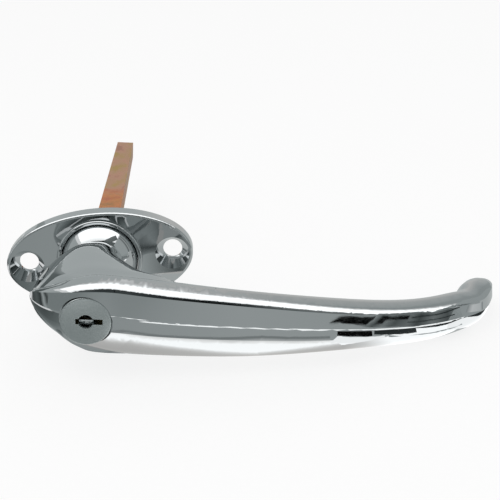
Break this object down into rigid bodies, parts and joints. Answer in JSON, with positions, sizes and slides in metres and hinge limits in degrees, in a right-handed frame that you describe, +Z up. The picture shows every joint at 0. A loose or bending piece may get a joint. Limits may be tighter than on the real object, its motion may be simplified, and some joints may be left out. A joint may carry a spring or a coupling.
{
  "type": "locking lever handle",
  "caption": "Chromed vehicle door lever handle with a key lock in its hub, an oval plate with countersunk screw holes and a long tapered square spindle.",
  "frame": {"origin": "on the spindle's axis at the plate's back face, midway between the screw holes", "axes": "+X along the plate towards the grip's tip, +Y into the door along the spindle, +Z up"},
  "size_m": [0.1629, 0.1776, 0.0406],
  "materials": {
    "plate_chrome": "polished chrome plate on zinc alloy",
    "lever_chrome": "polished chrome plate on zinc alloy",
    "spindle_steel": "drawn square steel with a rust-brown film",
    "bright_steel": "bright drawn steel",
    "spring_steel": "spring steel",
    "lock_nickel": "satin nickel on zinc alloy",
    "wafer_brass": "stamped brass"
  },
  "bodies": {
    "plate": {"base_plate": "plate_chrome"},
    "lever_set": {"lever": "lever_chrome", "spindle": "spindle_steel", "spindle_pin": "bright_steel", "thrust_washer": "bright_steel", "curved_washer": "spring_steel", "retaining_ring": "spring_steel", "plug_pin": "bright_steel"},
    "plug_set": {"lock_plug": "lock_nickel", "dust_shutter": "spring_steel", "lock_tail": "bright_steel", "wafer_spring_1": "spring_steel", "wafer_spring_2": "spring_steel", "wafer_spring_3": "spring_steel", "wafer_spring_4": "spring_steel", "wafer_spring_5": "spring_steel"},
    "bolt": {"locking_bolt": "bright_steel"},
    "wafer_1": {"wafer_1": "wafer_brass"},
    "wafer_2": {"wafer_2": "wafer_brass"},
    "wafer_3": {"wafer_3": "wafer_brass"},
    "wafer_4": {"wafer_4": "wafer_brass"},
    "wafer_5": {"wafer_5": "wafer_brass"}
  },
  "joints": [
    {"name": "lever_turn", "type": "hinge", "parent": "plate", "child": "lever_set", "pos_m": [0, 0, 0], "axis": [0, 1, 0], "range_deg": [-8, 37]},
    {"name": "lock_turn", "type": "hinge", "parent": "lever_set", "child": "plug_set", "pos_m": [0, 0, 0], "axis": [0, 1, 0], "range_deg": [0, 90]},
    {"name": "bolt_slide", "type": "slide", "parent": "lever_set", "child": "bolt", "axis": [-0.9903, 0, 0.1392], "range_m": [0, 0.0022]},
    {"name": "wafer_1_slide", "type": "slide", "parent": "plug_set", "child": "wafer_1", "axis": [0.9903, 0, -0.1392], "range_m": [0, 0.0008], "deforming": ["wafer_spring_1"]},
    {"name": "wafer_2_slide", "type": "slide", "parent": "plug_set", "child": "wafer_2", "axis": [0.9903, 0, -0.1392], "range_m": [0, 0.0008], "deforming": ["wafer_spring_2"]},
    {"name": "wafer_3_slide", "type": "slide", "parent": "plug_set", "child": "wafer_3", "axis": [0.9903, 0, -0.1392], "range_m": [0, 0.0008], "deforming": ["wafer_spring_3"]},
    {"name": "wafer_4_slide", "type": "slide", "parent": "plug_set", "child": "wafer_4", "axis": [0.9903, 0, -0.1392], "range_m": [0, 0.0008], "deforming": ["wafer_spring_4"]},
    {"name": "wafer_5_slide", "type": "slide", "parent": "plug_set", "child": "wafer_5", "axis": [0.9903, 0, -0.1392], "range_m": [0, 0.0008], "deforming": ["wafer_spring_5"]}
  ],
  "couplings": [
    {"joint": "bolt_slide", "follows": "lock_turn", "m_per_rad": 0.0014006},
    {"joint": "wafer_2_slide", "follows": "wafer_1_slide", "ratio": 1},
    {"joint": "wafer_3_slide", "follows": "wafer_1_slide", "ratio": 1},
    {"joint": "wafer_4_slide", "follows": "wafer_1_slide", "ratio": 1},
    {"joint": "wafer_5_slide", "follows": "wafer_1_slide", "ratio": 1}
  ]
}
